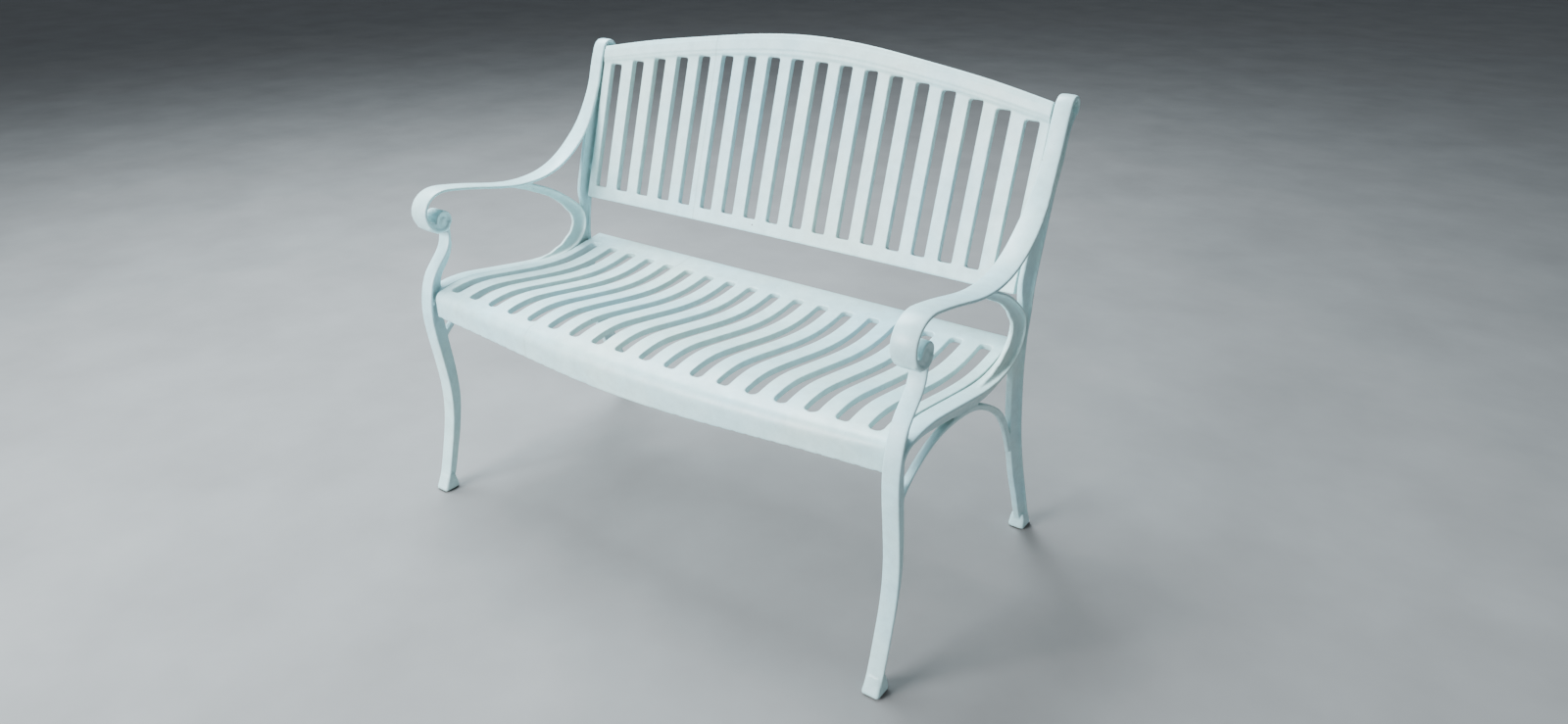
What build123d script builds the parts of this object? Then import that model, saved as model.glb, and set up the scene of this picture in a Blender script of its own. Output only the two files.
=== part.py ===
from build123d import *
import os
from math import cos, radians, sin

# Garden bench, cast aluminium. X runs along its length, -Y is the front, Z is up.
# Millimetres. The drawing lines below are laid out about the middle of the feet, and every
# piece is then moved forward so that the origin is on the ground under the middle of the box.

# Overall
box_middle_y = 12.13
frame_centre_x = 536.0
panel_half_length = 518.0
seat_pitch = 57.0
slot_count = 18

# End-frame castings
member_width = 31.4
facet_length = 7.0
rib_width = 14.0
arm_width = 44.0
arm_wide_height = 745.0
flange_thickness = 7.0
arm_thickness = 9.0
brace_width = 15.0
brace_depth = 12.0
knob_radius = 19.0
knob_width = 40.0
knob_rim = 4.5
knob_dish = 3.0
eye_radius = 6.0
ring_centre = (288.0, 850.0)
ring_outer_radius = 21.0
ring_inner_radius = 11.0
foot_level = 3.0
boss_sink = 1.0
tap_depth = 18.0

# Seat casting
seat_thickness = 12.0
seat_slot_width = 24.5
seat_slot_front = -252.0
seat_slot_rear = 150.0
seat_rear = 205.0
seat_front_side = -262.0
seat_front_middle = -288.0
apron_thickness = 8.0
side_wall = 6.0
side_wall_depth = 27.0
slat_wall = 4.5
slat_skin = 4.5
groove_setback = 12.0
slot_bow_share = 0.6
stile_groove_length = 380.0

# Back casting, laid out upright and then leaned back about its lowest slot line
back_lean = 16.8
back_line = (185.0, 566.0)
back_bow = 26.7
back_thickness = 14.0
back_slot_width = 29.0
back_slot_corner = 4.0
back_bottom = -27.0
top_rail_proud = 3.0
top_rail_extra = 2.0
back_wall_depth = 20.0
back_wall_bottom = -15.0
back_wall_top = 295.0
back_groove_setback = 8.0
back_stile_groove = (7.0, 257.0)

top_rail_line = [(0, 334), (130, 328), (260, 314), (390, 295), (518, 272)]
back_top_line = [(0, 375), (130, 368), (260, 351), (390, 331), (518, 305)]
back_slot_top = 328.0
back_slot_drop = 66.0

# Foot glides
glide_ys = (-291.0, 289.0)
glide_plug_radius = 5.0
glide_plug_height = 9.0

# Fasteners: M6 by 22 hexagon screws, plain washers and spring washers
screw_radius = 3.0
screw_hole_radius = 3.05
wall_hole_radius = 3.4
screw_reach = 22.0
screw_head_flats = 10.0
screw_head_height = 4.0
washer_radius = 6.0
washer_thickness = 1.6
spring_washer_radius = 5.4
spring_washer_thickness = 1.6
boss_radius = 7.5
rail_screw_drop = 16.0
rail_screw_ys = (-180.0, -30.0, 90.0)
back_screw_heights = (40.0, 225.0)
back_screw_depth = 12.0

# Side profiles as (y, z) points, each followed by a smooth curve
leg_front = [
    (-310, 3), (-299, 27), (-284, 75), (-271, 125), (-262, 172), (-259, 220), (-262, 268),
    (-268, 318), (-274, 368), (-275, 410), (-269, 447), (-255, 482), (-233, 508), (-214, 532),
    (-207, 560), (-206, 573),
]
leg_depths = (24, 26, 28, 31, 33, 35, 32, 24, 12)
rear_edge = [
    (309, 3), (297, 27), (270, 90), (238, 168), (208, 258), (191, 345), (183, 415), (184, 475),
    (195, 530), (212, 590), (228, 645), (246, 705), (263, 762), (281, 818),
]
rear_depths = (24, 26, 30, 31, 30, 28, 27, 27, 27)
loop_inside = [
    (-268, 425), (-258, 440), (-235, 452), (-205, 457), (-170, 457), (-130, 452), (-80, 444),
    (-30, 436), (20, 429), (65, 427), (105, 431), (140, 443), (164, 462), (176, 488),
    (173, 514), (152, 536), (121, 554), (80, 577), (40, 597), (0, 612),
]
loop_rib_inside = [
    (70, 432), (105, 437), (135, 449), (155, 468), (162, 490), (158, 510), (141, 529),
    (112, 545), (72, 567), (32, 587), (-4, 601),
]
arm_top = [
    (270, 862), (255, 828), (241, 785), (222, 745), (196, 704), (163, 671), (125, 644),
    (80, 625), (30, 617), (-20, 618), (-75, 627), (-130, 639), (-180, 648), (-215, 650),
    (-245, 637), (-260, 609), (-253, 582), (-232, 565), (-208, 566), (-197, 580),
]
brace = [
    (-262, 330), (-235, 360), (-190, 390), (-130, 410), (-60, 413), (10, 402), (70, 375),
    (125, 335), (165, 280), (190, 230),
]
seat_top = [
    (-296, 418), (-284, 434), (-262, 446), (-235, 453), (-205, 457), (-170, 457), (-130, 452),
    (-80, 444), (-30, 436), (20, 430), (65, 428), (110, 431), (160, 439), (205, 446),
]
knob_centre = (-214.0, 588.0)
rail_depths = (16, 24, 26, 26, 26, 22, 14)
front_foot = [(-310, 3), (-302, 24), (-277, 24), (-272, 3)]
rear_foot = [(309, 3), (300, 24), (272, 24), (269, 3)]
post_top_web = [(222, 735), (241, 778), (262, 835), (282, 822), (262, 758), (250, 720)]
apron_lip = [(-518, 398), (-300, 396), (0, 383), (300, 396), (518, 398)]
apron_top = 436.0


def depth_at(depths, u):
    """Depth part way along a member, between evenly spread depths."""
    place = u * (len(depths) - 1)
    k = min(int(place), len(depths) - 2)
    return depths[k] + (depths[k + 1] - depths[k]) * (place - k)


def inner_line(points, depths, side, count):
    """Points along the smooth curve through points, each moved to one side by a depth."""
    curve = Spline(*points)
    moved = []
    for i in range(count + 1):
        spot = curve @ (i / count)
        run = curve % (i / count)
        depth = side * depth_at(depths, i / count)
        moved.append((spot.X - run.Y * depth, spot.Y + run.X * depth))
    return moved


def ribbon(points, depths, side=1):
    """Flat strip between a smooth curve and its inner line, in (y, z)."""
    inner = Spline(*inner_line(points, depths, side, 2 * len(points)))
    outer = Spline(*points)
    return make_face(Curve() + [outer, Line(outer @ 0, inner @ 0), inner, Line(outer @ 1, inner @ 1)])


def facets(points):
    """How many short runs a casting's smooth edge is made of."""
    return round(Spline(*points).length / facet_length)


def strip(points, depths, side=1):
    """A ribbon with both its edges in short straight runs."""
    count = facets(points)
    outer = inner_line(points, (0, 0), side, count)
    inner = inner_line(points, depths, side, count)
    return polygon(outer + inner[::-1])


def between(points, other_points):
    """Strip between two smooth curves that run the same way, in short straight runs."""
    one = inner_line(points, (0, 0), 1, facets(points))
    two = inner_line(other_points, (0, 0), 1, facets(other_points))
    return polygon(one + two[::-1])


def polygon(points):
    return make_face(Polyline(*points, close=True))


def disc(centre, radius):
    return Pos(centre[0], centre[1]) * Circle(radius)


def across(face, width):
    """Solid of a (y, z) face, centred on X = 0 and width wide along X."""
    return extrude(Plane.YZ * face, amount=width / 2, both=True)


def rod(radius, x0, x1, y, z):
    """Cylinder along X between two places."""
    centre = Pos((x0 + x1) / 2, y, z) * Rot(0, 90, 0)
    return centre * Cylinder(radius, abs(x1 - x0))


def rail_screw_places():
    """(y, z) of the screws that hold the seat's side wall to the frame."""
    top = Spline(*seat_top)
    places = []
    for y in rail_screw_ys:
        hit = top.intersect(Axis((y, 0), (0, 1)))
        z = hit.Y if isinstance(hit, Vector) else hit[0].Y
        places.append((y, z - rail_screw_drop))
    return places


def back_screw_places():
    """(y, z) of the screws that hold the back's side wall to the post."""
    lean = radians(back_lean)
    places = []
    for height in back_screw_heights:
        y = back_line[0] + height * sin(lean) + back_screw_depth * cos(lean)
        z = back_line[1] + height * cos(lean) - back_screw_depth * sin(lean)
        places.append((y, z))
    return places


def end_frame():
    """Right end frame, centred on X = 0, with its inner side towards -X."""
    flange = strip(leg_front, (flange_thickness, flange_thickness), -1)
    flange += strip(rear_edge, (flange_thickness, flange_thickness), 1)
    flange += strip(loop_inside, (flange_thickness, flange_thickness), -1)
    flange += polygon(front_foot)
    flange += polygon(rear_foot)
    rib = strip(leg_front, leg_depths, -1)
    rib += strip(rear_edge, rear_depths, 1)
    rib += between(loop_inside[9:], loop_rib_inside)
    rib += strip(loop_inside[:13], rail_depths, -1)
    rib += polygon(post_top_web)
    arm = strip(arm_top, (arm_thickness, arm_thickness), 1)
    knob = disc(knob_centre, knob_radius)
    ring = disc(ring_centre, ring_outer_radius)
    frame = across(flange + arm + ring, member_width)
    frame += across(rib, rib_width)
    frame += across(strip(brace, (brace_depth, brace_depth), -1), brace_width)
    wide_part = Pos(0, arm_wide_height / 2) * Rectangle(800, arm_wide_height)
    frame += across(arm & wide_part, arm_width)
    frame += across(knob, knob_width)
    dish = disc(knob_centre, knob_radius - knob_rim) - disc(knob_centre, eye_radius)
    for side in (-1, 1):
        frame -= Pos(side * (arm_width / 2 + knob_width / 2) / 2, 0, 0) * across(dish, 2 * knob_dish)
    frame -= across(disc(ring_centre, ring_inner_radius), member_width + 2)
    frame -= Pos(0, 0, foot_level - 25) * Box(100, 700, 50)
    for y in glide_ys:
        frame -= Pos(0, y, foot_level) * Cylinder(glide_plug_radius + 0.3, 2 * glide_plug_height)
    inner_face = panel_half_length - frame_centre_x
    for y, z in rail_screw_places() + back_screw_places():
        frame += rod(boss_radius, inner_face, boss_sink - rib_width / 2, y, z)
    for y, z in rail_screw_places() + back_screw_places():
        frame -= rod(screw_hole_radius, inner_face - 1, inner_face + tap_depth, y, z)
    return frame


def seat_front_line(offset):
    """Plan curve of the seat's front, bowed forward in the middle."""
    side = (panel_half_length, seat_front_side + offset)
    return ThreePointArc((-side[0], side[1]), (0, seat_front_middle + offset), side)


def seat_plan(offset, rear):
    """Plan outline of the seat between its bowed front and a straight rear."""
    front = seat_front_line(offset)
    half = panel_half_length
    return make_face(Curve() + [front, Polyline(front @ 1, (half, rear), (-half, rear), front @ 0)])


def seat_layer(thickness, x_from, x_to):
    """Layer of the seat under its top curve, from one X to another."""
    face = ribbon(seat_top, (thickness, thickness), -1)
    return Pos(x_from, 0, 0) * extrude(Plane.YZ * face, amount=x_to - x_from)


def seat_panel():
    """Seat casting: slats, rails, apron and downturned side walls."""
    half = panel_half_length
    plate = seat_layer(seat_thickness, -half, half) & extrude(seat_plan(0, seat_rear), amount=600)
    apron_band = seat_plan(0, 0) - seat_plan(apron_thickness, 0)
    lip = Spline(*apron_lip)
    apron_sides = Polyline(lip @ 1, (half, apron_top), (-half, apron_top), lip @ 0)
    apron_face = make_face(Curve() + [lip, apron_sides])
    apron = extrude(apron_band, amount=600) & extrude(Plane.XZ * apron_face, amount=300)
    seat = plate + apron
    trim = extrude(seat_plan(apron_thickness - 1, seat_rear), amount=600)
    for side in (-1, 1):
        x_from = half - side_wall if side > 0 else -half
        seat += seat_layer(side_wall_depth, x_from, x_from + side_wall) & trim
    slot_length = seat_slot_rear - seat_slot_front
    slot = RectangleRounded(slot_length, seat_slot_width, seat_slot_width / 3)
    slot_y = (seat_slot_rear + seat_slot_front) / 2
    for i in range(slot_count):
        x = (i - (slot_count - 1) / 2) * seat_pitch
        bow = (seat_front_side - seat_front_middle) * (x / half) ** 2
        seat -= Pos(x, slot_y + bow * slot_bow_share, 350) * Rot(0, 0, 90) * extrude(slot, amount=200)
    groove_width = seat_pitch - seat_slot_width - 2 * slat_wall
    for i in range(slot_count - 1):
        x = (i + 1 - slot_count / 2) * seat_pitch
        seat -= slat_groove(x - groove_width / 2, groove_width, slot_y, slot_length - 2 * groove_setback)
    stile_groove = half - side_wall - (slot_count - 1) / 2 * seat_pitch - seat_slot_width / 2 - slat_wall
    seat -= slat_groove(half - side_wall - stile_groove, stile_groove, 0, stile_groove_length)
    seat -= slat_groove(side_wall - half, stile_groove, 0, stile_groove_length)
    for side in (-1, 1):
        for y, z in rail_screw_places():
            seat -= rod(wall_hole_radius, side * (half - side_wall - 2), side * (half + 2), y, z)
    return seat


def slat_groove(x_from, width, y_middle, length):
    """Cut that leaves a slat as a channel open underneath."""
    below = seat_layer(30, x_from, x_from + width) - seat_layer(slat_skin, x_from, x_from + width)
    return below & (Pos(x_from + width / 2, y_middle, 440) * Box(width, length, 200))


def back_arc(offset):
    """Plan curve of the back's front face, bowed rearward in the middle."""
    half = panel_half_length
    return ThreePointArc((-half, offset), (0, back_bow + offset), (half, offset))


def back_layer(front, rear):
    """Tall curved sheet between two depths behind the back's front face."""
    near = back_arc(front)
    far = back_arc(rear)
    face = make_face(Curve() + [near, Line(near @ 1, far @ 1), far, Line(near @ 0, far @ 0)])
    return Pos(0, 0, -100) * extrude(face, amount=600)


def back_outline(top_points):
    """Front view outline up to a smooth top line, as a deep block."""
    top = Spline(*top_points)
    half = panel_half_length
    sides = Polyline(top @ 1, (half, back_bottom), (-half, back_bottom), top @ 0)
    return Pos(0, 150, 0) * extrude(Plane.XZ * make_face(Curve() + [top, sides]), amount=300)


def mirrored(points):
    """Left half of a symmetric line added to its right half."""
    return [(-x, z) for x, z in reversed(points[1:])] + points


def back_panel():
    """Back casting: slats, crowned top rail, bottom rail, stiles and side walls."""
    half = panel_half_length
    whole = back_outline(mirrored(back_top_line))
    below_rail = back_outline(mirrored(top_rail_line))
    panel = back_layer(0, back_thickness) & whole
    panel += (back_layer(-top_rail_proud, back_thickness + top_rail_extra) & whole) - below_rail
    wall_height = back_wall_top - back_wall_bottom
    for side in (-1, 1):
        wall = Box(side_wall, 200, wall_height)
        wall = Pos(side * (half - side_wall / 2), 0, back_wall_bottom + wall_height / 2) * wall
        panel += back_layer(1, back_wall_depth) & whole & wall
    for i in range(slot_count):
        x = (i - (slot_count - 1) / 2) * seat_pitch
        reach = back_slot_top - back_slot_drop * (x / half) ** 2
        slot = Pos(0, reach / 2) * RectangleRounded(back_slot_width, reach, back_slot_corner)
        panel -= Pos(x, 100, 0) * extrude(Plane.XZ * slot, amount=200)
    groove_width = seat_pitch - back_slot_width - 2 * slat_wall
    for i in range(slot_count - 1):
        x = (i + 1 - slot_count / 2) * seat_pitch
        reach = back_slot_top - back_slot_drop * (x / half) ** 2 - 2 * back_groove_setback
        bow = back_bow * (1 - (x / half) ** 2)
        groove = Box(groove_width, 30, reach)
        groove = Pos(x, bow + slat_skin + 15, back_groove_setback + reach / 2) * groove
        panel -= groove
    stile_groove = half - side_wall - (slot_count - 1) / 2 * seat_pitch - back_slot_width / 2 - slat_wall
    groove_bottom, groove_top = back_stile_groove
    for side in (-1, 1):
        x = side * (half - side_wall - stile_groove / 2)
        groove = Box(stile_groove, 30, groove_top - groove_bottom)
        panel -= Pos(x, slat_skin + 15, (groove_bottom + groove_top) / 2) * groove
    panel = Pos(0, back_line[0], back_line[1]) * Rot(-back_lean, 0, 0) * panel
    for side in (-1, 1):
        for y, z in back_screw_places():
            panel -= rod(wall_hole_radius, side * (half - side_wall - 2), side * (half + 2), y, z)
    return panel


def glide(y):
    """Foot glide on X = 0: a rounded pad with a plug that presses into the foot."""
    pad = Pos(0, y, foot_level / 2) * Box(27, 33, foot_level)
    pad = fillet(pad.edges().filter_by(Axis.Z), 6)
    plug = Pos(0, y, foot_level + glide_plug_height / 2 - 0.5)
    return pad + plug * Cylinder(glide_plug_radius, glide_plug_height - 1)


def screw(side, y, z):
    """Hexagon screw driven outward through a panel's side wall into the frame."""
    wall_face = panel_half_length - side_wall
    seat_x = wall_face - washer_thickness - spring_washer_thickness
    head = RegularPolygon(screw_head_flats / 2, 6, major_radius=False)
    head = extrude(Plane.YZ * head, amount=screw_head_height)
    head = Pos(seat_x - screw_head_height, y, z) * head
    head = chamfer(head.faces().sort_by(Axis.X)[0].edges(), 0.6)
    body = head + rod(screw_radius, seat_x, seat_x + screw_reach, y, z)
    return body if side > 0 else mirror(body, Plane.YZ)


def washer(side, y, z, sprung):
    """Plain or spring washer under a screw's head."""
    wall_face = panel_half_length - side_wall
    if sprung:
        x0 = wall_face - washer_thickness - spring_washer_thickness
        ring = rod(spring_washer_radius, x0, x0 + spring_washer_thickness, y, z)
    else:
        x0 = wall_face - washer_thickness
        ring = rod(washer_radius, x0, x0 + washer_thickness, y, z)
    ring -= rod(screw_radius + 0.2, x0 - 1, x0 + 5, y, z)
    if sprung:
        ring -= Pos(x0 + 1, y, z + 5) * Rot(18, 0, 0) * Box(6, 0.8, 6)
    return ring if side > 0 else mirror(ring, Plane.YZ)


def save(name, shape):
    placed = Pos(0, -box_middle_y, 0) * shape
    placed.label = name
    export_step(placed, f"parts/{name}.step")


os.makedirs("parts", exist_ok=True)
frame = end_frame()
save("right_end_frame", Pos(frame_centre_x, 0, 0) * frame)
save("left_end_frame", Pos(-frame_centre_x, 0, 0) * mirror(frame, Plane.YZ))
save("seat_panel", seat_panel())
save("back_panel", back_panel())
for side, side_name in ((-1, "left"), (1, "right")):
    for y, end_name in zip(glide_ys, ("front", "rear")):
        save(f"{end_name}_{side_name}_foot_glide", Pos(side * frame_centre_x, 0, 0) * glide(y))
    for places, panel_name in ((rail_screw_places(), "seat"), (back_screw_places(), "back")):
        for i, (y, z) in enumerate(places):
            save(f"{side_name}_{panel_name}_screw_{i + 1}", screw(side, y, z))
        plain = [washer(side, y, z, False) for y, z in places]
        sprung = [washer(side, y, z, True) for y, z in places]
        save(f"{side_name}_{panel_name}_washers", Compound(children=plain))
        save(f"{side_name}_{panel_name}_spring_washers", Compound(children=sprung))
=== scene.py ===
import math

import bmesh
import bpy
import numpy as np
from mathutils import Matrix, Vector


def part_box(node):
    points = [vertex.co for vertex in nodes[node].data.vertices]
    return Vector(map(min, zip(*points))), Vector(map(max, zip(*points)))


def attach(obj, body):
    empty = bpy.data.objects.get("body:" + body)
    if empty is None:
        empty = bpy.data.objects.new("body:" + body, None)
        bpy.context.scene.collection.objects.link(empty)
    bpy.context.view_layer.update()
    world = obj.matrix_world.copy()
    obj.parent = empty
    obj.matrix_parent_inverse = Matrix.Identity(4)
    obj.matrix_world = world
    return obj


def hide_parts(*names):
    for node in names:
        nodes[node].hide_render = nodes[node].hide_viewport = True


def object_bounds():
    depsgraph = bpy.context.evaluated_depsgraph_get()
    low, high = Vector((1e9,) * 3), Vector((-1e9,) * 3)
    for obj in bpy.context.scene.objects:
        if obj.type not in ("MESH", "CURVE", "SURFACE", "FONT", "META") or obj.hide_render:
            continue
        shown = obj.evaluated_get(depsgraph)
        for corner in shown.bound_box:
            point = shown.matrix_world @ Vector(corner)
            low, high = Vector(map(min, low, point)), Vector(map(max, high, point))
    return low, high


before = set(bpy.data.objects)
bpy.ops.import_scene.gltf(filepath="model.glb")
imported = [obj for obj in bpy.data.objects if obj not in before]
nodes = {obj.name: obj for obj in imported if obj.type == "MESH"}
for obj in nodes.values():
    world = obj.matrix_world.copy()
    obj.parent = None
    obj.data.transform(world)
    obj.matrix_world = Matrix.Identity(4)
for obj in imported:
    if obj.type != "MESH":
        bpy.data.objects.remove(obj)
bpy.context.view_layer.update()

# Castings are drawn in millimetres and turned into metres when their meshes are made.
MM = 0.001


# ---------------------------------------------------------------- materials

def node_material(name):
    """An empty node material with its Principled shader and output."""
    material = bpy.data.materials.new(name)
    material.use_nodes = True
    tree = material.node_tree
    tree.nodes.clear()
    shader = tree.nodes.new("ShaderNodeBsdfPrincipled")
    output = tree.nodes.new("ShaderNodeOutputMaterial")
    tree.links.new(shader.outputs["BSDF"], output.inputs["Surface"])
    return material, tree, shader


def object_coords(tree):
    """Coordinates fixed to the object, in metres."""
    return tree.nodes.new("ShaderNodeTexCoord").outputs["Object"]


def noise(tree, coords, scale, detail=3.0, roughness=0.5, distortion=0.0):
    """Noise texture in object space, as its factor output."""
    node = tree.nodes.new("ShaderNodeTexNoise")
    node.inputs["Scale"].default_value = scale
    node.inputs["Detail"].default_value = detail
    node.inputs["Roughness"].default_value = roughness
    node.inputs["Distortion"].default_value = distortion
    tree.links.new(coords, node.inputs["Vector"])
    return node.outputs["Fac"]


def ramp(tree, factor, stops, interpolation="LINEAR"):
    """Colour ramp over a factor. Stops are (place, grey or colour)."""
    node = tree.nodes.new("ShaderNodeValToRGB")
    node.color_ramp.interpolation = interpolation
    elements = node.color_ramp.elements
    while len(elements) < len(stops):
        elements.new(0.5)
    for element, (place, colour) in zip(elements, stops):
        element.position = place
        element.color = (*colour, 1) if isinstance(colour, tuple) else (colour, colour, colour, 1)
    tree.links.new(factor, node.inputs["Fac"])
    return node.outputs["Color"]


def mix(tree, factor, one, two, blend="MIX"):
    """Colour mix. Factor, one and two are sockets, numbers or colours."""
    node = tree.nodes.new("ShaderNodeMix")
    node.data_type = "RGBA"
    node.blend_type = blend
    for socket, value in ((node.inputs[0], factor), (node.inputs[6], one), (node.inputs[7], two)):
        if isinstance(value, bpy.types.NodeSocket):
            tree.links.new(value, socket)
        elif isinstance(value, tuple):
            socket.default_value = (*value, 1)
        elif socket.type == "RGBA":
            socket.default_value = (value, value, value, 1)
        else:
            socket.default_value = value
    return node.outputs[2]


def bump(tree, height, strength, distance, under=None):
    """Bump node on a height, over an earlier bump if there is one."""
    node = tree.nodes.new("ShaderNodeBump")
    node.inputs["Strength"].default_value = strength
    node.inputs["Distance"].default_value = distance
    tree.links.new(height, node.inputs["Height"])
    if under is not None:
        tree.links.new(under, node.inputs["Normal"])
    return node.outputs["Normal"]


# Metres. The seams' places are across the bench, left of its middle.
SEAM_HALF = 0.0022
SEAT_SEAM_X = -0.240
BACK_SEAM_X = -0.228
HOLLOW_REACH = 0.02

MINT = (0.53, 0.82, 0.89)
MINT_WARM = (0.65, 0.85, 0.81)
# Grey green of the painted shade laid into hollows by ambient occlusion.
HOLLOW_SHADE_TONE = (0.30, 0.36, 0.32)
SEAM_SHADE = (0.34, 0.42, 0.40)
DUST = (0.33, 0.33, 0.26)
PRIMER = (0.13, 0.11, 0.09)


def calculate(tree, operation, value, number=0.0):
    """Math node on a socket and a number."""
    node = tree.nodes.new("ShaderNodeMath")
    node.operation = operation
    tree.links.new(value, node.inputs[0])
    node.inputs[1].default_value = number
    return node.outputs[0]


def seam_line(tree, coords, x):
    """1 on a seam that runs round the casting at an x, falling to 0 at its sides."""
    apart = tree.nodes.new("ShaderNodeSeparateXYZ")
    tree.links.new(coords, apart.inputs[0])
    away = calculate(tree, "SUBTRACT", apart.outputs["X"], x)
    away = calculate(tree, "ABSOLUTE", away)
    share = calculate(tree, "DIVIDE", away, SEAM_HALF)
    return ramp(tree, share, [(0.0, 1.0), (1.0, 0.0)])


def powder_coat(name, seed, seam_x=None):
    """Pale satin powder coat on cast metal, with weathering, painted shade in hollows, dust specks
    and small chips.
    """
    material, tree, shader = node_material(name)
    coords = object_coords(tree)
    seam = None if seam_x is None else seam_line(tree, coords, seam_x)
    shift = tree.nodes.new("ShaderNodeVectorMath")
    shift.operation = "ADD"
    shift.inputs[1].default_value = (seed, 2.3 * seed, -1.7 * seed)
    tree.links.new(coords, shift.inputs[0])
    coords = shift.outputs["Vector"]
    broad = ramp(tree, noise(tree, coords, 4.0, 4, 0.6), [(0.3, 0.0), (0.7, 1.0)])
    colour = mix(tree, broad, MINT, MINT_WARM)
    mottle = ramp(tree, noise(tree, coords, 38.0, 5, 0.65), [(0.34, 0.88), (0.60, 1.0)])
    colour = mix(tree, 1.0, colour, mottle, "MULTIPLY")
    # Painted shade in hollows: ambient occlusion darkens the coat toward a grey green, broken up by
    # noise.
    hollow = tree.nodes.new("ShaderNodeAmbientOcclusion")
    hollow.inputs["Distance"].default_value = HOLLOW_REACH
    hollow.samples = 8
    hollow_shade = ramp(tree, hollow.outputs["AO"], [(0.3, 1.0), (0.85, 0.0)])
    patch = ramp(tree, noise(tree, coords, 55.0, 6, 0.7), [(0.3, 0.35), (0.65, 1.0)])
    hollow_shade = mix(tree, 1.0, hollow_shade, patch, "MULTIPLY")
    colour = mix(tree, mix(tree, 1.0, hollow_shade, 0.7, "MULTIPLY"), colour, HOLLOW_SHADE_TONE)
    if seam is not None:
        colour = mix(tree, mix(tree, 1.0, seam, 0.35, "MULTIPLY"), colour, SEAM_SHADE)
    # Fine dust specks and a few small chips down to a dull primer.
    specks = ramp(tree, noise(tree, coords, 420.0, 2, 0.5), [(0.70, 0.0), (0.74, 1.0)])
    colour = mix(tree, mix(tree, 1.0, specks, 0.5, "MULTIPLY"), colour, DUST)
    chips = ramp(tree, noise(tree, coords, 95.0, 3, 0.55), [(0.775, 0.0), (0.785, 1.0)])
    colour = mix(tree, chips, colour, PRIMER)
    tree.links.new(colour, shader.inputs["Base Color"])
    dull = ramp(tree, noise(tree, coords, 26.0, 5, 0.6), [(0.3, 0.30), (0.7, 0.46)])
    # The coat is also rougher in the hollows that take the painted shade.
    dull = mix(tree, hollow_shade, dull, 0.75)
    tree.links.new(dull, shader.inputs["Roughness"])
    cast = bump(tree, noise(tree, coords, 22.0, 3, 0.5), 0.35, 0.0016)
    peel = bump(tree, noise(tree, coords, 650.0, 2, 0.5), 0.22, 0.00025, cast)
    surface = bump(tree, chips, 0.5, -0.0004, peel)
    if seam is not None:
        surface = bump(tree, seam, 0.6, 0.0008, surface)
    tree.links.new(surface, shader.inputs["Normal"])
    shader.inputs["Specular IOR Level"].default_value = 0.5
    return material


def zinc_steel():
    """Bright zinc on small fasteners, with faint white bloom."""
    material, tree, shader = node_material("zinc_steel")
    coords = object_coords(tree)
    bloom = ramp(tree, noise(tree, coords, 260.0, 4, 0.6), [(0.45, 0.0), (0.7, 1.0)])
    colour = mix(tree, bloom, (0.50, 0.51, 0.52), (0.70, 0.70, 0.68))
    tree.links.new(colour, shader.inputs["Base Color"])
    rough = ramp(tree, noise(tree, coords, 500.0, 3, 0.5), [(0.3, 0.25), (0.7, 0.5)])
    tree.links.new(rough, shader.inputs["Roughness"])
    tree.links.new(bump(tree, rough, 0.2, 0.0002), shader.inputs["Normal"])
    shader.inputs["Metallic"].default_value = 1.0
    return material


def black_plastic():
    """Moulded foot plastic, scuffed and dusty."""
    material, tree, shader = node_material("black_plastic")
    coords = object_coords(tree)
    dust = ramp(tree, noise(tree, coords, 120.0, 5, 0.65), [(0.42, 0.0), (0.75, 1.0)])
    colour = mix(tree, dust, (0.015, 0.015, 0.016), (0.16, 0.14, 0.12))
    tree.links.new(colour, shader.inputs["Base Color"])
    rough = ramp(tree, dust, [(0.0, 0.45), (1.0, 0.8)])
    tree.links.new(rough, shader.inputs["Roughness"])
    grain = noise(tree, coords, 900.0, 2, 0.5)
    tree.links.new(bump(tree, grain, 0.3, 0.0002), shader.inputs["Normal"])
    return material


frame_coat = powder_coat("end_frame_coat", 3.1)
seat_coat = powder_coat("seat_coat", 7.7, SEAT_SEAM_X)
back_coat = powder_coat("back_coat", 11.9, BACK_SEAM_X)
steel = zinc_steel()
plastic = black_plastic()


# ---------------------------------------------------------------- mesh tools

SMOOTH_PASSES = 5


def apply_modifiers(piece):
    """Replaces a piece's mesh with the result of its modifiers."""
    graph = bpy.context.evaluated_depsgraph_get()
    result = bpy.data.meshes.new_from_object(piece.evaluated_get(graph))
    piece.modifiers.clear()
    old = piece.data
    piece.data = result
    bpy.data.meshes.remove(old)


def soften(piece, voxel, keep_ratio):
    """Turns overlapping or hard-edged solids into one cast skin with rounded arrises."""
    remesh = piece.modifiers.new("remesh", "REMESH")
    remesh.mode = "VOXEL"
    remesh.voxel_size = voxel
    remesh.adaptivity = 0.0
    smooth = piece.modifiers.new("smooth", "SMOOTH")
    smooth.factor = 0.5
    smooth.iterations = SMOOTH_PASSES
    apply_modifiers(piece)
    thin = piece.modifiers.new("thin", "DECIMATE")
    thin.ratio = keep_ratio
    apply_modifiers(piece)
    piece.data.polygons.foreach_set("use_smooth", [True] * len(piece.data.polygons))


def finish_piece(piece, node_name, material):
    """Gives a casting its coat and makes it stand for its CAD node."""
    piece.data.materials.clear()
    piece.data.materials.append(material)
    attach(piece, "root")
    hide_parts(node_name)


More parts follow.
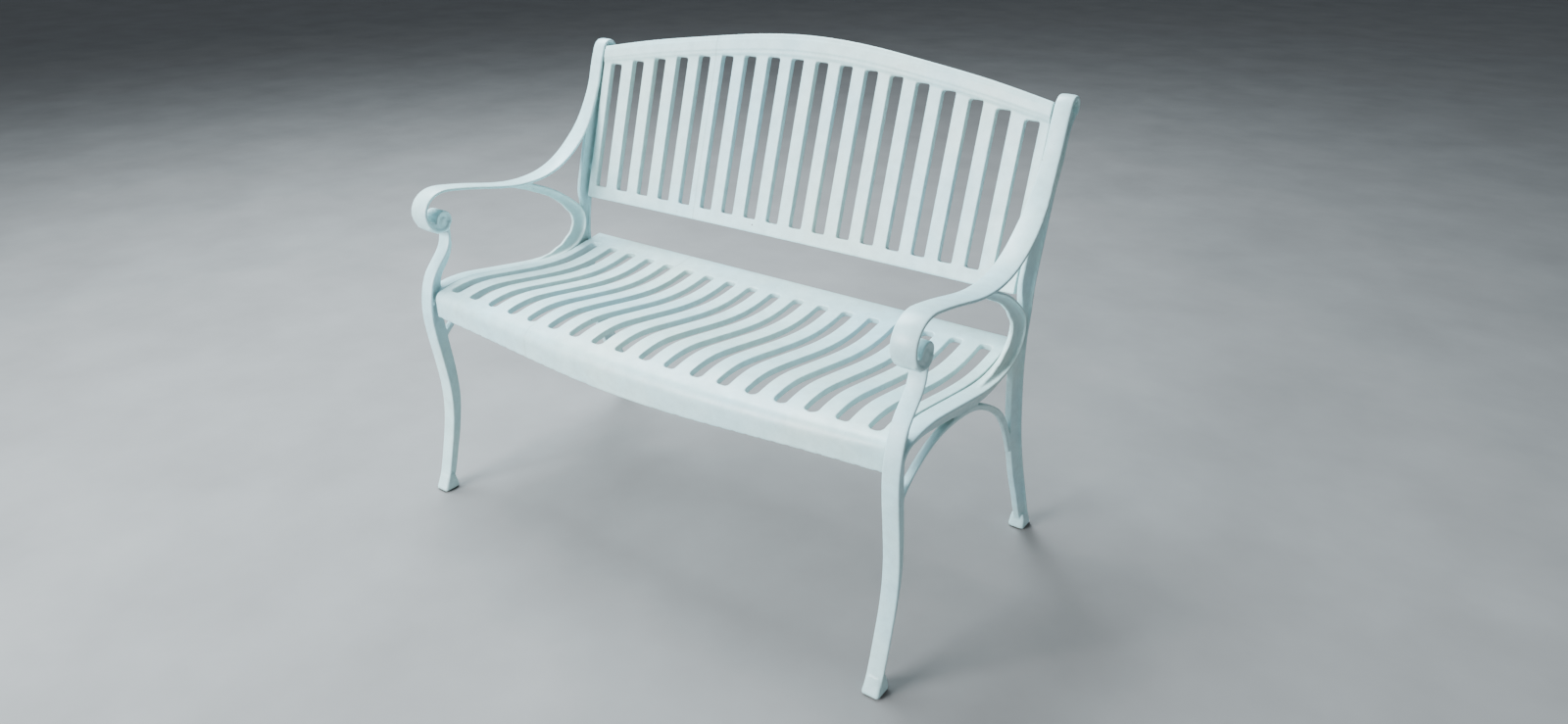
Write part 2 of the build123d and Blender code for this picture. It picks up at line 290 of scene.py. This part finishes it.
def smooth_line(points, spacing):
    """Even places and directions along the natural cubic curve through (y, z) points."""
    points = np.array(points, float)
    knots = np.concatenate([[0.0], np.cumsum(np.linalg.norm(np.diff(points, axis=0), axis=1))])
    gap = np.diff(knots)
    count = len(points)
    system = np.eye(count)
    right = np.zeros((count, 2))
    for k in range(1, count - 1):
        system[k, k - 1:k + 2] = gap[k - 1], 2 * (gap[k - 1] + gap[k]), gap[k]
        slopes = np.diff(points[k - 1:k + 2], axis=0) / gap[k - 1:k + 1, None]
        right[k] = 6 * (slopes[1] - slopes[0])
    bend = np.linalg.solve(system, right)
    fine = np.linspace(0, knots[-1], 40 * count)
    span = np.clip(np.searchsorted(knots, fine, side="right") - 1, 0, count - 2)
    before = (fine - knots[span])[:, None]
    after = (knots[span + 1] - fine)[:, None]
    size = gap[span][:, None]
    line = (bend[span] * after ** 3 + bend[span + 1] * before ** 3) / (6 * size)
    line += (points[span] / size - bend[span] * size / 6) * after
    line += (points[span + 1] / size - bend[span + 1] * size / 6) * before
    run = np.concatenate([[0.0], np.cumsum(np.linalg.norm(np.diff(line, axis=0), axis=1))])
    even = np.linspace(0, run[-1], round(run[-1] / spacing) + 1)
    places = np.stack([np.interp(even, run, line[:, i]) for i in (0, 1)], axis=1)
    ways = np.gradient(places, axis=0)
    return places, ways / np.linalg.norm(ways, axis=1)[:, None]


def loft(rings):
    """Vertices and faces of a closed skin through rings of equally many points."""
    count = len(rings[0])
    verts = [tuple(vert) for ring in rings for vert in ring]
    faces = []
    for k in range(len(rings) - 1):
        for i in range(count):
            j = (i + 1) % count
            faces.append((k * count + i, k * count + j, (k + 1) * count + j, (k + 1) * count + i))
    faces.append(tuple(reversed(range(count))))
    faces.append(tuple(range(len(verts) - count, len(verts))))
    return verts, faces


def arc(centre, radii, start, stop, steps):
    """Points on an elliptical arc, from one angle to another in degrees."""
    angles = [math.radians(start + (stop - start) * k / steps) for k in range(steps + 1)]
    return [(centre[0] + radii[0] * math.cos(a), centre[1] + radii[1] * math.sin(a)) for a in angles]


COVE_RADIUS = 11.0
RIB_TAPER = 0.06
FOOT_LEVEL = 3.0


def tee(half, thick, crown, rib, depth):
    """T section as (x, depth) points: crowned flange, round edges, coves and a round-tipped rib."""
    edge = 2.0
    lip = 1.0
    rim = 2.2
    tip = min(1.5, rib / 2)
    dome = crown * ((half - edge) / half) ** 2
    face = [(half - edge) * k / 6 for k in range(6)]
    side = [(x, crown * (x / half) ** 2) for x in face]
    side += arc((half - edge, dome + edge), (edge, edge), -90, 0, 3)
    side += arc((half - lip, thick - lip), (lip, lip), 0, 90, 2)
    cove = max(0.3, min(depth - thick - tip, COVE_RADIUS))
    root = rib + RIB_TAPER * max(0.0, depth - thick - cove)
    side += arc((half - rim, thick + cove), (half - rim - root, cove), -90, -180, 6)
    side += arc((rib - tip, depth - tip), (tip, tip), 0, 90, 2)
    side.append((0, depth))
    return side + [(-x, d) for x, d in reversed(side[1:-1])]


def member(points, side, section, spacing=4.0):
    """Skin of a member whose section follows a curve, cut off level at the foot.

    section(u, z) gives the (x, depth) outline at a share of the length and a height.
    """
    places, ways = smooth_line(points, spacing)
    rings = []
    for k, (place, way) in enumerate(zip(places, ways)):
        inward = side * np.array([-way[1], way[0]])
        outline = section(k / (len(places) - 1), place[1])
        spots = [(x, place + inward * d) for x, d in outline]
        rings.append([(x, y, max(z, FOOT_LEVEL)) for x, (y, z) in spots])
    return loft(rings)


def slab(outline, half):
    """Flat solid across X with a (y, z) outline."""
    return loft([[(x, y, z) for y, z in outline] for x in (-half, half)])


def turned(profile, y, z):
    """Solid of revolution about an X axis, from (x, radius) points."""
    rings = []
    for x, radius in profile:
        ring = arc((y, z), (radius, radius), 0, 345, 23)
        rings.append([(x, *spot) for spot in ring])
    return loft(rings)


def mesh_object(name, solids):
    """Object made of several closed skins, drawn in millimetres."""
    verts = []
    faces = []
    for solid_verts, solid_faces in solids:
        first = len(verts)
        verts += [tuple(MM * value for value in vert) for vert in solid_verts]
        faces += [tuple(first + i for i in face) for face in solid_faces]
    mesh = bpy.data.meshes.new(name)
    mesh.from_pydata(verts, [], faces)
    piece = bpy.data.objects.new(name, mesh)
    bpy.context.scene.collection.objects.link(piece)
    return piece


# ---------------------------------------------------------------- end frames

# Side profiles as (y, z) millimetres from the middle of the feet. They are the CAD's lines,
# except that the loop behind the armrest is rounder and the arm band ends in a full curl.
LEG_FRONT = [
    (-310, 3), (-299, 27), (-284, 75), (-271, 125), (-262, 172), (-259, 220), (-262, 268),
    (-268, 318), (-274, 368), (-275, 410), (-269, 447), (-255, 482), (-233, 508), (-214, 532),
    (-207, 560), (-206, 573),
]
LEG_DEPTHS = (24, 26, 28, 31, 33, 35, 32, 24, 12)
REAR_EDGE = [
    (309, 3), (297, 27), (270, 90), (238, 168), (208, 258), (191, 345), (183, 415), (184, 475),
    (195, 530), (212, 590), (228, 645), (246, 705), (263, 762), (281, 818), (297, 836),
]
REAR_DEPTHS = (24, 26, 30, 31, 30, 28, 27, 27, 27, 22)
LOOP = [
    (-268, 425), (-258, 440), (-235, 452), (-205, 457), (-170, 457), (-130, 452), (-80, 444),
    (-30, 436), (20, 429), (65, 427), (105, 431), (139, 443), (159, 462), (166, 484),
    (162, 505), (146, 525), (124, 543), (86, 569), (40, 591), (8, 603), (-24, 610),
]
RAIL_DEPTHS = (16, 24, 26, 26, 26, 22, 14)
LOOP_DEPTHS = (8, 13, 20, 29, 33, 32, 26, 20, 18, 17.5, 16, 12)
ARM_TOP = [
    (302, 834), (309, 850), (303, 865), (288, 871), (273, 865), (262, 846), (255, 828),
    (241, 785), (222, 745), (196, 704), (163, 671), (125, 644), (80, 625), (30, 617), (-20, 618),
    (-75, 627), (-130, 639), (-180, 648), (-215, 650), (-245, 637), (-260, 609), (-253, 582),
    (-232, 565), (-208, 566), (-197, 580),
]
BRACE = [
    (-262, 330), (-235, 360), (-190, 390), (-130, 410), (-60, 413), (10, 402), (70, 375),
    (125, 335), (165, 280), (190, 230),
]
POST_WEB = [
    (222, 735), (241, 778), (262, 840), (276, 862), (292, 845), (282, 822), (262, 758), (250, 720),
]
SCROLL_WEB = [
    (-254, 590), (-247, 594), (-240, 587), (-228, 584), (-214, 588), (-199, 577), (-207, 565),
    (-232, 564), (-250, 577),
]
KNOB = (-214, 588)
KNOB_PROFILE = [
    (19.0, 1.0), (18.6, 3.5), (17.2, 5.2), (16.2, 6.4), (16.0, 9.0), (16.8, 12.0), (18.6, 14.2),
    (20.0, 16.0), (19.6, 17.8), (18.0, 19.0),
]
FEET = ((-291, -287), (289, 284))
# Height, half width and half depth of each ring of a foot, from the ground up.
FOOT_RINGS = (
    (3, 17.0, 19.0), (8, 17.0, 18.6), (14, 16.2, 16.4), (22, 15.6, 13.6), (34, 12.0, 10.5),
)
FOOT_SQUARENESS = 0.35
FLANGE_HALF = 15.7
ARM_HALF = 22.0
RIB_HALF = 6.5
SCROLL_HALF = 18.0
LOOP_FLANGE = 7.0
BOSS_RADIUS = 7.5
BOSS_SPAN = (-18.0, -5.0)
RAIL_BOSSES = ((-180, 441.4), (-30, 420), (90, 412.8))
BACK_BOSSES = ((208, 600.8), (261.5, 777.9))

# The post's rib is cut back where the loop passes it, and above the loop the post slims down.
DIP_LEVEL = 490.0
DIP_REACH = 42.0
DIP_DEPTH = 10.0
SLIM_START = 495.0
SLIM_RISE = 75.0
SLIM_END = 790.0
SLIM_FALL = 90.0
SLIM_FLANGE = 3.5
SLIM_RIB = 1.8
SLIM_DEEPER = 11.0
SLIM_LEAN = 4.0

# The arm band is at its narrowest above one level, and at its widest well below it.
BAND_LEVEL = 775.0
BAND_FALL = 125.0
BAND_RIM = 6.0


def ease(t):
    """Smooth step from 0 to 1."""
    t = min(1.0, max(0.0, t))
    return t * t * (3 - 2 * t)


def along(values, u):
    """Value part way along a member, eased between evenly spread values."""
    place = u * (len(values) - 1)
    k = min(int(place), len(values) - 2)
    return values[k] + (values[k + 1] - values[k]) * ease(place - k)


def leg_section(u, z):
    return tee(FLANGE_HALF, 6.5, 1.2, RIB_HALF, along(LEG_DEPTHS, u))


def post_section(u, z):
    """The rib is shallow behind the loop, and above it deep, narrow and nearer the panel."""
    behind = math.exp(-((z - DIP_LEVEL) / DIP_REACH) ** 4)
    above = ease((z - SLIM_START) / SLIM_RISE) * ease((SLIM_END - z) / SLIM_FALL)
    depth = along(REAR_DEPTHS, u) - DIP_DEPTH * behind + SLIM_DEEPER * above
    outline = tee(FLANGE_HALF - SLIM_FLANGE * above, 6.0, 0.8, RIB_HALF - SLIM_RIB * above, depth)
    return [(x - SLIM_LEAN * above * d / depth, d) for x, d in outline]


def rail_section(u, z):
    """The top face dips at the end to meet the loop's thinner flange."""
    sink = 2.0 * max(0.0, (u - 0.8) / 0.2)
    outline = tee(FLANGE_HALF, 7.0, 0.5, RIB_HALF, along(RAIL_DEPTHS, u))
    return [(x, max(d, sink)) for x, d in outline]


def loop_section(u, z):
    """The flange stands outside the drawn line, so that it meets the seat rail's."""
    outline = tee(FLANGE_HALF, 5.0, 0.8, 3.6, along(LOOP_DEPTHS, u))
    return [(x, d - LOOP_FLANGE) for x, d in outline]


def arm_section(u, z):
    """The band is narrow down the post and widens into the armrest."""
    spread = ease((BAND_LEVEL - z) / BAND_FALL)
    half = FLANGE_HALF + (ARM_HALF - FLANGE_HALF) * spread
    return tee(half, 8.0, 1.2 + 1.4 * spread, half - BAND_RIM, 9.0)


def brace_section(u, z):
    return tee(7.5, 5.0, 0.8, 4.5, 12.0)


def foot(base_y, top_y):
    """Flared foot from the ground pad up into the leg."""
    rings = []
    bottom = FOOT_RINGS[0][0]
    top = FOOT_RINGS[-1][0]
    for z, half_x, half_y in FOOT_RINGS:
        middle = base_y + (top_y - base_y) * (z - bottom) / (top - bottom)
        ring = []
        for k in range(32):
            angle = 2 * math.pi * k / 32
            cx, cy = math.cos(angle), math.sin(angle)
            ring.append((
                math.copysign(half_x * abs(cx) ** FOOT_SQUARENESS, cx),
                middle + math.copysign(half_y * abs(cy) ** FOOT_SQUARENESS, cy),
                z,
            ))
        rings.append(ring)
    return loft(rings)


def frame_casting(name):
    """Right end frame about X = 0: T-section legs, loop, rail, crowned arm, scroll and brace."""
    far_end = [(-x, radius) for x, radius in KNOB_PROFILE]
    solids = [
        member(LEG_FRONT, -1, leg_section),
        member(REAR_EDGE, 1, post_section),
        member(LOOP[:13], -1, rail_section),
        member(LOOP[8:], 1, loop_section),
        member(ARM_TOP, 1, arm_section, 3.0),
        member(BRACE, -1, brace_section),
        slab(POST_WEB, RIB_HALF),
        slab(SCROLL_WEB, SCROLL_HALF),
        turned(far_end + KNOB_PROFILE[::-1], *KNOB),
    ]
    solids += [foot(*ends) for ends in FEET]
    for y, z in RAIL_BOSSES + BACK_BOSSES:
        solids.append(turned([(x, BOSS_RADIUS) for x in BOSS_SPAN], y, z))
    return mesh_object(name, solids)


def place(piece, across=0.0, flip=False):
    """Moves a drawn casting to its place in the frame, mirrored for the left end."""
    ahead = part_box("right_end_frame")[0][1] - min(y for y, z in LEG_FRONT) * MM
    for vert in piece.data.vertices:
        vert.co.x = across + (-vert.co.x if flip else vert.co.x)
        vert.co.y += ahead
    if flip:
        piece.data.flip_normals()


def middle_x(node_name):
    """Middle of a node's box across the bench."""
    low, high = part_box(node_name)
    return (low[0] + high[0]) / 2


right = frame_casting("right_frame_casting")
soften(right, 1.6 * MM, 0.6)
left = bpy.data.objects.new("left_frame_casting", right.data.copy())
bpy.context.scene.collection.objects.link(left)
place(right, middle_x("right_end_frame"))
place(left, middle_x("left_end_frame"), True)
finish_piece(right, "right_end_frame", frame_coat)
finish_piece(left, "left_end_frame", frame_coat)


# ---------------------------------------------------------------- seat and back

# Both panels are drawn flat in millimetres as (x, run, height over the face), fused into one
# skin, and then bent: the seat over its S curve and its rounded front, the back over its bow.
HALF_LENGTH = 518.0
PITCH = 57.0
SLOT_XS = [(k - 8.5) * PITCH for k in range(18)]
LAP = 1.0
WALL = 4.5
SKIN = 4.5

SEAT_TOP = [
    (-296, 418), (-284, 434), (-262, 446), (-235, 453), (-205, 457), (-170, 457), (-130, 452),
    (-80, 444), (-30, 436), (20, 430), (65, 428), (110, 431), (160, 439), (205, 446),
]
SEAT_REAR = 205.0
SEAT_THICK = 12.0
APRON_THICK = 8.0
SEAT_SLOT_HALF = 12.25
SEAT_SLOT_CORNER = 8.0
SEAT_SLOT_FRONT = -252.0
SEAT_SLOT_REAR = 150.0
SEAT_SLOT_BOW = 15.6
SEAT_SLOT_REST = 12
SEAT_SIDE_FRONT = -238.0
SEAT_SIDE_DEPTH = 27.0
SEAT_FRONT_SIDE = -262.0
SEAT_FRONT_BOW = 26.0
LIP_HEIGHT = 398.0
LIP_DROOP = 15.0
LIP_BAND = 1.5
SIDE_WALL = 6.0

BACK_LEAN = math.radians(16.8)
BACK_LINE = (185.0, 566.0)
BACK_BOW = 26.7
BACK_THICK = 14.0
BACK_SLOT_HALF = 14.5
BACK_SLOT_CORNER = 4.0
BACK_BOTTOM = -27.0
BACK_SLOT_TOP = 328.0
BACK_SLOT_DROP = 66.0
BACK_SIDE_DEPTH = 20.0
RAIL_PROUD = 3.0
RAIL_RIDGE = 4.6
RAIL_STEPS = 32
RAIL_LINE = ((0, 334), (130, 328), (260, 314), (390, 295), (518, 272))
TOP_LINE = ((0, 375), (130, 368), (260, 351), (390, 331), (518, 305))


def plank(corners, low, high):
    """Flat solid over an (x, run) outline between two heights."""
    return loft([[(x, run, height) for x, run in corners] for height in (low, high)])


def board(x0, x1, run0, run1, low, high):
    """Flat solid over a rectangle."""
    return plank([(x0, run0), (x1, run0), (x1, run1), (x0, run1)], low, high)


def corner_fills(x, half, run0, run1, radius, low, high):
    """The four pieces that round a slot's corners."""
    fills = []
    for sx in (-1, 1):
        for end, sy in ((run0, -1), (run1, 1)):
            edge = x + sx * half
            turn = arc((0, 0), (radius, radius), 0, 90, 6)
            outline = [(edge - sx * radius + sx * a, end - sy * radius + sy * b) for a, b in turn]
            outline += [(edge - sx * radius, end + sy * LAP), (edge + sx * LAP, end + sy * LAP)]
            outline.append((edge + sx * LAP, end - sy * radius))
            fills.append(plank(outline, low, high))
    return fills


def channel(x0, x1, run0, run1, low):
    """Slat as a channel: a face skin with a wall down each side."""
    return [
        board(x0, x1, run0, run1, -SKIN, 0),
        board(x0, x0 + WALL, run0, run1, low, 0),
        board(x1 - WALL, x1, run0, run1, low, 0),
    ]


def bow_at(x):
    """1 at the middle of a bowed panel and 0 at its ends."""
    return 1 - (x / HALF_LENGTH) ** 2


def seat_curve():
    """The seat's top as arrays of run, height and slope."""
    places, ways = smooth_line(SEAT_TOP, 2.0)
    return places[:, 0], places[:, 1], ways[:, 1] / ways[:, 0]


SEAT_RUN, SEAT_HEIGHT, SEAT_SLOPE = seat_curve()


def seat_front(x):
    """Where the seat turns down at an x: start of the turn, its angle and radius, and the lip."""
    front = SEAT_FRONT_SIDE - SEAT_FRONT_BOW * bow_at(x)
    radius = 18.0 + 8.0 * bow_at(x)
    angle = math.atan(np.interp(front + 0.6 * radius, SEAT_RUN, SEAT_SLOPE))
    start = front + radius * (1 - math.sin(angle))
    turn = radius * (math.pi / 2 - angle)
    top = np.interp(start, SEAT_RUN, SEAT_HEIGHT)
    droop = 0.5 + 0.5 * math.cos(math.pi * min(1.0, abs(x) / 450))
    drop = top - radius * math.cos(angle) - (LIP_HEIGHT - LIP_DROOP * droop)
    return start, angle, radius, turn, start - turn - drop, top


def bend_seat(x, run, height):
    """Flat seat place to its real one. The last of the apron is drawn out straight to its lip."""
    start, angle, radius, turn, lip, top = seat_front(x)
    if run < lip + LIP_BAND:
        run = lip
    if run >= start:
        slope = math.atan(np.interp(run, SEAT_RUN, SEAT_SLOPE))
        y, z = run, np.interp(run, SEAT_RUN, SEAT_HEIGHT)
    else:
        slope = angle + min(start - run, turn) / radius
        y = start - radius * (math.sin(slope) - math.sin(angle))
        z = top - radius * (math.cos(angle) - math.cos(slope)) - max(0.0, start - run - turn)
    return x, y - height * math.sin(slope), z + height * math.cos(slope)


def seat_strip(x0, x1, run1, low):
    """Strip from the apron's lip to a run, thinner down the apron."""
    lip0, lip1 = [seat_front(x)[4] for x in (x0, x1)]
    start0, start1 = [seat_front(x)[0] for x in (x0, x1)]
    return [
        plank([(x0, lip0), (x1, lip1), (x1, start1 + 4), (x0, start0 + 4)], -APRON_THICK, 0),
        plank([(x0, start0), (x1, start1), (x1, run1), (x0, run1)], low, 0),
    ]


def slot_edges(half):
    """The X of both of a panel's ends and of every slot's sides, from left to right."""
    sides = [x + s * half for x in SLOT_XS for s in (-1, 1)]
    return [-HALF_LENGTH] + sides + [HALF_LENGTH]


def seat_solids():
    """Seat as flat solids: apron, rear rail, channel-backed slats and side walls."""
    solids = []
    bows = [SEAT_SLOT_BOW * (x / HALF_LENGTH) ** 2 for x in SLOT_XS]
    ends = [(SEAT_SLOT_FRONT + bow, SEAT_SLOT_REAR + bow) for bow in bows]
    for x, (run0, run1) in zip(SLOT_XS, ends):
        reach = SEAT_SLOT_HALF + LAP
        solids += seat_strip(x - reach, x + reach, run0, -SEAT_THICK)
        solids.append(board(x - reach, x + reach, run1, SEAT_REAR, -SEAT_THICK, 0))
        solids += corner_fills(x, SEAT_SLOT_HALF, run0, run1, SEAT_SLOT_CORNER, -SEAT_THICK, 0)
    edges = slot_edges(SEAT_SLOT_HALF)
    for k in range(0, len(edges), 2):
        x0, x1 = edges[k], edges[k + 1]
        run0, run1 = ends[min(k // 2, len(ends) - 1)]
        solids += seat_strip(x0, x1, run0 + SEAT_SLOT_REST, -SEAT_THICK)
        solids += channel(x0, x1, run0, run1, -SEAT_THICK)
        solids.append(board(x0, x1, run1 - SEAT_SLOT_REST, SEAT_REAR, -SEAT_THICK, 0))
    for x0 in (-HALF_LENGTH, HALF_LENGTH - SIDE_WALL):
        solids.append(board(x0, x0 + SIDE_WALL, SEAT_SIDE_FRONT, SEAT_REAR, -SEAT_SIDE_DEPTH, 0))
    return solids


def line_at(line, x):
    """Run of a symmetric line at an x."""
    return float(np.interp(abs(x), *zip(*line)))


def smooth_table(line):
    """A symmetric line of (x, run) points as a fine smooth table."""
    whole = [(-x, run) for x, run in reversed(line[1:])] + list(line)
    places, ways = smooth_line(whole, 8.0)
    return [(x, run) for x, run in places if x >= -1e-6]


def bend_back(x, run, height):
    """Flat back place to its real one, bowed and leaned."""
    depth = BACK_BOW * bow_at(x) - height
    y = BACK_LINE[0] + run * math.sin(BACK_LEAN) + depth * math.cos(BACK_LEAN)
    z = BACK_LINE[1] + run * math.cos(BACK_LEAN) - depth * math.sin(BACK_LEAN)
    return x, y, z


def back_solids():
    """Back as flat solids: crowned top rail, bottom rail, channel-backed slats and side walls."""
    rail = smooth_table(RAIL_LINE)
    top = smooth_table(TOP_LINE)
    solids = [board(-HALF_LENGTH, HALF_LENGTH, BACK_BOTTOM, 0, -BACK_THICK, 0)]
    steps = [HALF_LENGTH * k / RAIL_STEPS for k in range(-RAIL_STEPS, RAIL_STEPS + 1)]
    for x0, x1 in zip(steps, steps[1:]):
        x0, x1 = max(x0 - 0.5, -HALF_LENGTH), min(x1 + 0.5, HALF_LENGTH)
        low = [line_at(rail, x) for x in (x0, x1)]
        high = [line_at(top, x) for x in (x0, x1)]
        corners = [(x0, low[0]), (x1, low[1]), (x1, high[1]), (x0, high[0])]
        solids.append(plank(corners, -BACK_THICK - 2, RAIL_PROUD))
        middle = [(0.6 * a + 0.4 * b, 0.25 * a + 0.75 * b) for a, b in zip(low, high)]
        (start0, end0), (start1, end1) = middle
        ridge = [(x0, start0 - 6), (x1, start1 - 6), (x1, end1), (x0, end0)]
        solids.append(plank(ridge, 0, RAIL_RIDGE))
    reaches = [BACK_SLOT_TOP - BACK_SLOT_DROP * (x / HALF_LENGTH) ** 2 for x in SLOT_XS]
    for x, reach in zip(SLOT_XS, reaches):
        over = line_at(rail, x) + 12
        left_side, right_side = x - BACK_SLOT_HALF - LAP, x + BACK_SLOT_HALF + LAP
        solids.append(board(left_side, right_side, reach, over, -BACK_THICK, 0))
        solids += corner_fills(x, BACK_SLOT_HALF, 0, reach, BACK_SLOT_CORNER, -BACK_THICK, 0)
    edges = slot_edges(BACK_SLOT_HALF)
    for k in range(0, len(edges), 2):
        x0, x1 = edges[k], edges[k + 1]
        reach = line_at(rail, (x0 + x1) / 2)
        solids += channel(x0, x1, -LAP, reach + 8, -BACK_THICK)
        solids.append(board(x0, x1, reach - 14, reach + 10, -BACK_THICK, 0))
        solids.append(board(x0, x1, -LAP, 8, -BACK_THICK, 0))
    for x0 in (-HALF_LENGTH, HALF_LENGTH - SIDE_WALL):
        solids.append(board(x0, x0 + SIDE_WALL, -15, 290, -BACK_SIDE_DEPTH, 0))
    return solids


def bent_casting(name, solids, bend):
    """Fuses flat solids, then bends every point to its real place."""
    piece = mesh_object(name, solids)
    soften(piece, 2.0 * MM, 0.4)
    for vert in piece.data.vertices:
        vert.co = Vector(bend(*(value / MM for value in vert.co))) * MM
    piece.data.update()
    place(piece)
    return piece


seat = bent_casting("seat_casting", seat_solids(), bend_seat)
finish_piece(seat, "seat_panel", seat_coat)
back = bent_casting("back_casting", back_solids(), bend_back)
finish_piece(back, "back_panel", back_coat)

for name, node in nodes.items():
    if "glide" in name:
        node.data.materials.clear()
        node.data.materials.append(plastic)
    if "screw" in name or "washers" in name:
        node.data.materials.clear()
        node.data.materials.append(steel)


# ---------------------------------------------------------------- floor, light and camera

FLOOR_HALF = 40.0
SKY = (0.80, 0.90, 1.0)
SKY_STRENGTH = 0.20
EYE = (1.156, -1.442, 1.226)
AIM = (-0.51729, 0.73598, -0.43674)
ROLL = -0.1
LENS = 23.73

low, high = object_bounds()
middle = [(a + b) / 2 for a, b in zip(low, high)]


def plain_floor():
    """Pale floor much larger than the bench."""
    mesh = bpy.data.meshes.new("floor")
    edit = bmesh.new()
    corners = [(-FLOOR_HALF, -FLOOR_HALF), (FLOOR_HALF, -FLOOR_HALF)]
    corners += [(FLOOR_HALF, FLOOR_HALF), (-FLOOR_HALF, FLOOR_HALF)]
    edit.faces.new([edit.verts.new((x, y, low[2])) for x, y in corners])
    edit.to_mesh(mesh)
    edit.free()
    floor = bpy.data.objects.new("floor", mesh)
    bpy.context.scene.collection.objects.link(floor)
    material, tree, shader = node_material("floor")
    coords = object_coords(tree)
    tone = ramp(tree, noise(tree, coords, 3.0, 4, 0.6), [(0.3, 0.24), (0.7, 0.29)])
    tree.links.new(tone, shader.inputs["Base Color"])
    shader.inputs["Roughness"].default_value = 0.9
    mesh.materials.append(material)


def soft_light(name, place, size, power, colour, target):
    """Square area light aimed at a point."""
    data = bpy.data.lights.new(name, "AREA")
    data.size = size
    data.energy = power
    data.color = colour
    lamp = bpy.data.objects.new(name, data)
    lamp.location = place
    lamp.rotation_euler = (Vector(target) - Vector(place)).to_track_quat("-Z", "Y").to_euler()
    bpy.context.scene.collection.objects.link(lamp)


def studio():
    """Cool soft light from above and from the front, with a weak warm one at the right."""
    world = bpy.data.worlds.new("studio")
    bpy.context.scene.world = world
    world.use_nodes = True
    background = world.node_tree.nodes["Background"]
    background.inputs["Color"].default_value = (*SKY, 1)
    background.inputs["Strength"].default_value = SKY_STRENGTH
    soft_light("key", (-1.5, 0.5, 3.4), 2.0, 330, (0.82, 0.94, 1.0), middle)
    soft_light("front", (-1.3, -3.4, 1.7), 1.8, 290, (0.92, 0.97, 1.0), middle)
    soft_light("side", (3.4, -1.2, 1.2), 1.6, 10, (1.0, 0.95, 0.86), middle)


def camera():
    """Camera 1.2 m up, in front and to the right of the bench, looking down at it."""
    data = bpy.data.cameras.new("camera")
    data.sensor_width = 36
    data.lens = LENS
    eye = bpy.data.objects.new("camera", data)
    eye.location = EYE
    aim = Vector(AIM).to_track_quat("-Z", "Y").to_matrix()
    turn = aim @ Matrix.Rotation(math.radians(ROLL), 3, "Z")
    eye.rotation_euler = turn.to_euler()
    bpy.context.scene.collection.objects.link(eye)
    bpy.context.scene.camera = eye


plain_floor()
studio()
camera()
